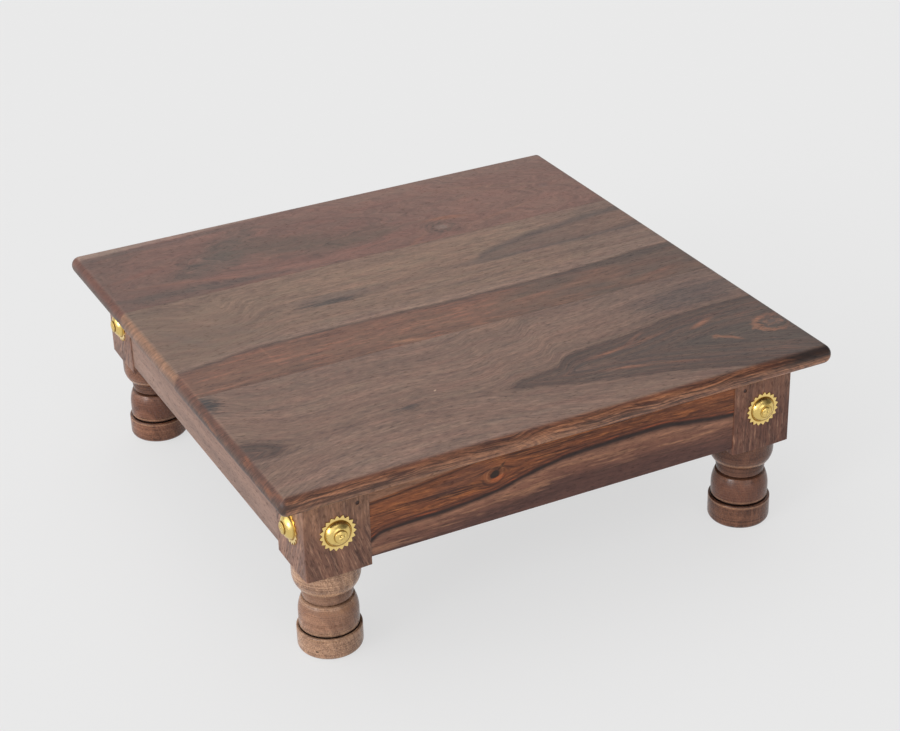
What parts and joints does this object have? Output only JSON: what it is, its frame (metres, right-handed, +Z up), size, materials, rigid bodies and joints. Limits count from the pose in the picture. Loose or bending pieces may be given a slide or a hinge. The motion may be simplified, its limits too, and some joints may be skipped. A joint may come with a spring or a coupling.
{
  "type": "bajot low table",
  "caption": "Low square wooden table with a board top, aprons joined to turned legs, and a nailed brass rosette on each outer leg face.",
  "frame": {"origin": "on the floor, under the middle of the square top", "axes": "+Z up, +X to the right along the front edge, -Y towards the front"},
  "size_m": [0.45, 0.45, 0.158],
  "materials": {
    "top_wood_back": "waxed hardwood",
    "top_wood_middle": "waxed hardwood",
    "top_wood_front": "waxed hardwood",
    "leg_wood": "waxed hardwood, turned",
    "apron_wood": "waxed hardwood",
    "block_wood": "bare hardwood",
    "pin_wood": "bare hardwood",
    "rosette_brass": "polished",
    "nail_brass": "polished",
    "screw_steel": "plain"
  },
  "bodies": {
    "root": {"top_board_back": "top_wood_back", "top_board_middle": "top_wood_middle", "top_board_front": "top_wood_front", "leg_front_left": "leg_wood", "leg_front_right": "leg_wood", "leg_back_left": "leg_wood", "leg_back_right": "leg_wood", "apron_front": "apron_wood", "apron_back": "apron_wood", "apron_left": "apron_wood", "apron_right": "apron_wood", "corner_block_front_left": "block_wood", "corner_block_front_right": "block_wood", "corner_block_back_left": "block_wood", "corner_block_back_right": "block_wood", "rosette_front_left_front": "rosette_brass", "rosette_front_left_side": "rosette_brass", "rosette_front_right_front": "rosette_brass", "rosette_front_right_side": "rosette_brass", "rosette_back_left_back": "rosette_brass", "rosette_back_left_side": "rosette_brass", "rosette_back_right_back": "rosette_brass", "rosette_back_right_side": "rosette_brass", "rosette_nail_front_left_front": "nail_brass", "rosette_nail_front_left_side": "nail_brass", "rosette_nail_front_right_front": "nail_brass", "rosette_nail_front_right_side": "nail_brass", "rosette_nail_back_left_back": "nail_brass", "rosette_nail_back_left_side": "nail_brass", "rosette_nail_back_right_back": "nail_brass", "rosette_nail_back_right_side": "nail_brass", "tenon_pins": "pin_wood", "top_screws": "screw_steel", "leg_screws": "screw_steel"}
  },
  "joints": []
}
